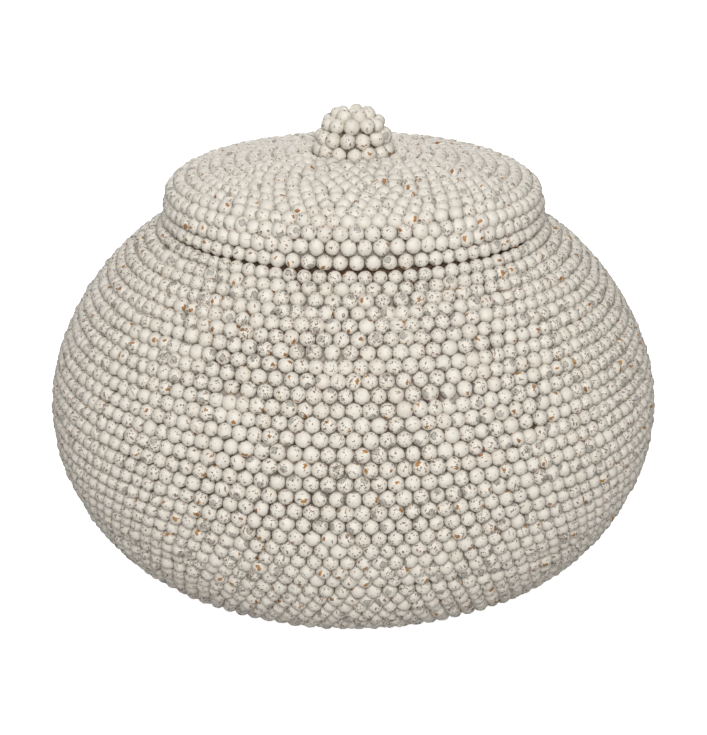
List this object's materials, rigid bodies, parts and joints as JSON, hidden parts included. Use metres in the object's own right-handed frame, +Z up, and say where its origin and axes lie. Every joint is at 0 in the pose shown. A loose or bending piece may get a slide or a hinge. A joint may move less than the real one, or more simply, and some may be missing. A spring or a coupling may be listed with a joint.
{
  "type": "storage jar",
  "caption": "Squat round storage jar with a lift-off domed lid and a beaded knob, covered all over with rows of round ivory palm seeds.",
  "frame": {"origin": "centre of the felt pad's underside", "axes": "+Z up through the knob; -Y towards the side seen in the picture"},
  "size_m": [0.3018, 0.3018, 0.2296],
  "materials": {
    "seeds": "matte",
    "knob_seeds": "satin",
    "core": "matte",
    "foot": "matte",
    "felt": "matte",
    "steel": "satin"
  },
  "bodies": {
    "jar": {"body_core": "core", "foot_disc": "foot", "felt_pad": "felt", "body_seed_course_01": "seeds", "body_seed_course_02": "seeds", "body_seed_course_03": "seeds", "body_seed_course_04": "seeds", "body_seed_course_05": "seeds", "body_seed_course_06": "seeds", "body_seed_course_07": "seeds", "body_seed_course_08": "seeds", "body_seed_course_09": "seeds", "body_seed_course_10": "seeds", "body_seed_course_11": "seeds", "body_seed_course_12": "seeds", "body_seed_course_13": "seeds", "body_seed_course_14": "seeds", "body_seed_course_15": "seeds", "body_seed_course_16": "seeds", "body_seed_course_17": "seeds", "body_seed_course_18": "seeds", "body_seed_course_19": "seeds", "body_seed_course_20": "seeds", "body_seed_course_21": "seeds", "body_seed_course_22": "seeds", "body_seed_course_23": "seeds", "body_seed_course_24": "seeds", "body_seed_course_25": "seeds", "body_seed_course_26": "seeds", "body_seed_course_27": "seeds", "body_seed_course_28": "seeds", "body_seed_course_29": "seeds", "body_seed_course_30": "seeds", "body_seed_course_31": "seeds", "body_seed_course_32": "seeds", "body_seed_course_33": "seeds", "body_seed_course_34": "seeds", "body_seed_course_35": "seeds"},
    "lid": {"lid_core": "core", "lid_edge_course_1": "seeds", "lid_edge_course_2": "seeds", "lid_edge_course_3": "seeds", "lid_top_course_01": "seeds", "lid_top_course_02": "seeds", "lid_top_course_03": "seeds", "lid_top_course_04": "seeds", "lid_top_course_05": "seeds", "lid_top_course_06": "seeds", "lid_top_course_07": "seeds", "lid_top_course_08": "seeds", "lid_top_course_09": "seeds", "lid_top_course_10": "seeds", "lid_top_course_11": "seeds", "knob_core": "core", "knob_seed_course_1": "knob_seeds", "knob_seed_course_2": "knob_seeds", "knob_seed_course_3": "knob_seeds", "knob_seed_course_4": "knob_seeds", "knob_top_seed": "knob_seeds", "knob_screw": "steel"}
  },
  "joints": [
    {"name": "lid_lift", "type": "slide", "parent": "jar", "child": "lid", "axis": [0, 0, 1], "range_m": [0, 0.11]}
  ]
}
